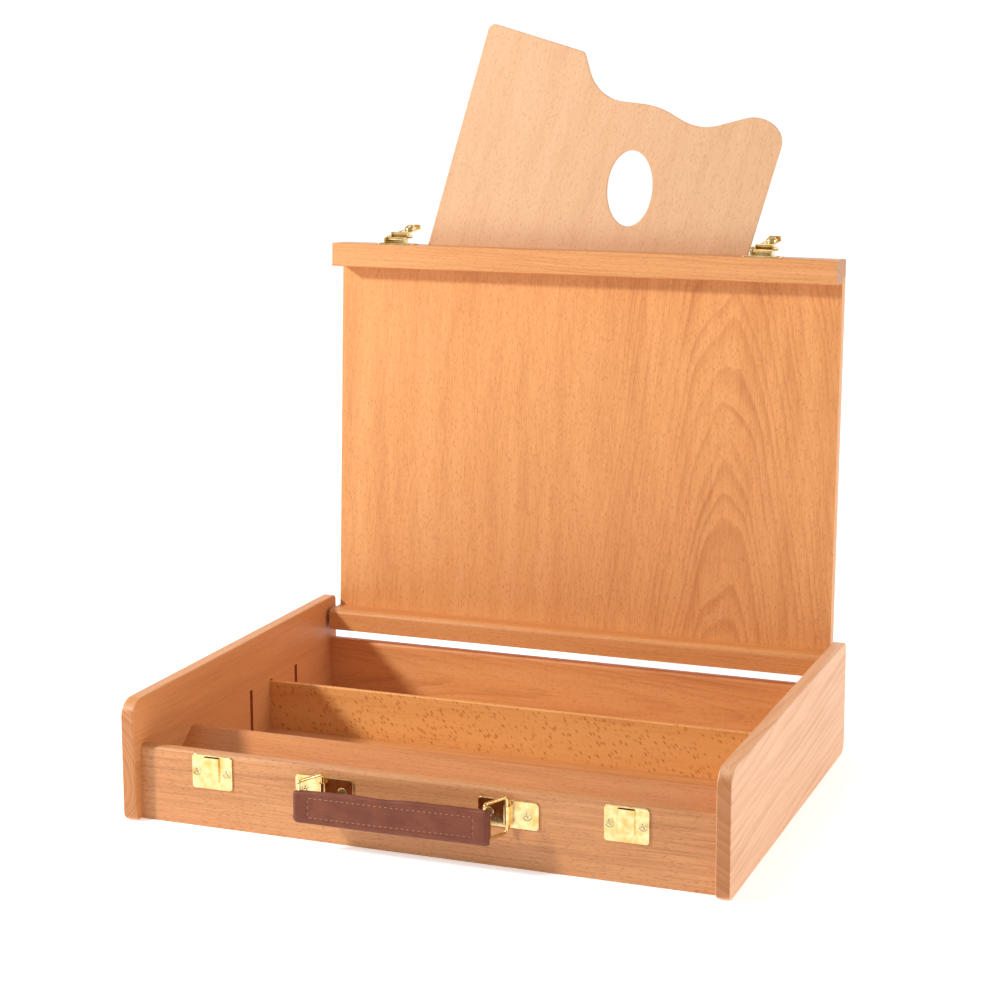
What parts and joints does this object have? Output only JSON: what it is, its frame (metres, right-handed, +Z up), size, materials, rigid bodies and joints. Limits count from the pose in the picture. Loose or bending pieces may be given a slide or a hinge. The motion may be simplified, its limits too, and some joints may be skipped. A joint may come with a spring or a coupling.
{
  "type": "table sketch-box easel",
  "caption": "Table sketch-box easel: a shallow beech case with dividers, a swing-up lid that holds a palette in a pocket, two draw catches and a leather handle on wire rings.",
  "frame": {"origin": "middle of the front wall's underside, on the surface that the case stands on", "axes": "+X to the right along the front, +Y from the front to the back, +Z up"},
  "size_m": [0.44, 0.3844, 0.5526],
  "materials": {
    "side_beech": "waxed steamed beech, side boards",
    "wall_beech": "waxed steamed beech, walls and rails",
    "panel_veneer": "beech-veneered plywood",
    "flecked_beech": "quarter-sawn beech with ray flecks",
    "palette_ply": "varnished beech plywood",
    "dowel_beech": "turned beech",
    "brass": "polished, lacquered",
    "screw": "plated",
    "pin": "bright",
    "leather": "smooth finished"
  },
  "bodies": {
    "case": {"left_side": "side_beech", "right_side": "side_beech", "front_wall": "wall_beech", "back_wall": "wall_beech", "base_panel": "panel_veneer", "middle_divider": "flecked_beech", "sloping_divider": "wall_beech", "wall_dowels": "dowel_beech", "strike_plate_left": "brass", "strike_plate_right": "brass", "strike_screws": "screw", "handle_bracket_left": "brass", "handle_bracket_right": "brass", "bracket_screws": "screw"},
    "lid": {"lid_foot_rail": "wall_beech", "lid_head_rail": "wall_beech", "lid_panel": "panel_veneer", "lid_back_board": "panel_veneer", "pocket_strip_left": "wall_beech", "pocket_strip_right": "wall_beech", "lid_pivot_pins": "pin", "catch_base_left": "brass", "catch_base_right": "brass", "lever_pin_left": "pin", "lever_pin_right": "pin", "catch_screws": "screw"},
    "palette": {"palette": "palette_ply"},
    "lever_left": {"catch_lever_left": "brass", "hook_pin_left": "pin"},
    "lever_right": {"catch_lever_right": "brass", "hook_pin_right": "pin"},
    "hook_left": {"catch_hook_left": "brass"},
    "hook_right": {"catch_hook_right": "brass"},
    "ring_left": {"handle_ring_left": "brass"},
    "ring_right": {"handle_ring_right": "brass"},
    "strap": {"handle_strap": "leather"}
  },
  "joints": [
    {"name": "lid_hinge", "type": "hinge", "parent": "case", "child": "lid", "pos_m": [0, 0.30605, 0.0679], "axis": [1, 0, 0], "range_deg": [-37, 93.1]},
    {"name": "palette_slide", "type": "slide", "parent": "lid", "child": "palette", "axis": [0.2756, 0.052, 0.9599], "range_m": [-0.036, 0.245]},
    {"name": "lever_left_hinge", "type": "hinge", "parent": "lid", "child": "lever_left", "pos_m": [-0.1535, 0.31511, 0.38307], "axis": [1, 0, 0], "range_deg": [-11, 68]},
    {"name": "hook_left_hinge", "type": "hinge", "parent": "lever_left", "child": "hook_left", "pos_m": [-0.1535, 0.32257, 0.38665], "axis": [1, 0, 0], "range_deg": [0, 105]},
    {"name": "lever_right_hinge", "type": "hinge", "parent": "lid", "child": "lever_right", "pos_m": [0.148, 0.31511, 0.38307], "axis": [1, 0, 0], "range_deg": [-11, 68]},
    {"name": "hook_right_hinge", "type": "hinge", "parent": "lever_right", "child": "hook_right", "pos_m": [0.148, 0.32257, 0.38665], "axis": [1, 0, 0], "range_deg": [0, 105]},
    {"name": "ring_left_hinge", "type": "hinge", "parent": "case", "child": "ring_left", "pos_m": [-0.068, -0.00795, 0.0375], "axis": [0, 0, 1], "range_deg": [-42.5, 89.5]},
    {"name": "ring_right_hinge", "type": "hinge", "parent": "case", "child": "ring_right", "pos_m": [0.066, -0.00795, 0.0375], "axis": [0, 0, 1], "range_deg": [-42.5, 89.5]},
    {"name": "strap_hinge", "type": "hinge", "parent": "ring_left", "child": "strap", "pos_m": [-0.07625, -0.02693, 0.0375], "axis": [0, 0, 1], "range_deg": [-89.5, 42.5]}
  ],
  "couplings": [
    {"joint": "ring_right_hinge", "follows": "ring_left_hinge", "ratio": 1},
    {"joint": "strap_hinge", "follows": "ring_left_hinge", "ratio": -1}
  ]
}
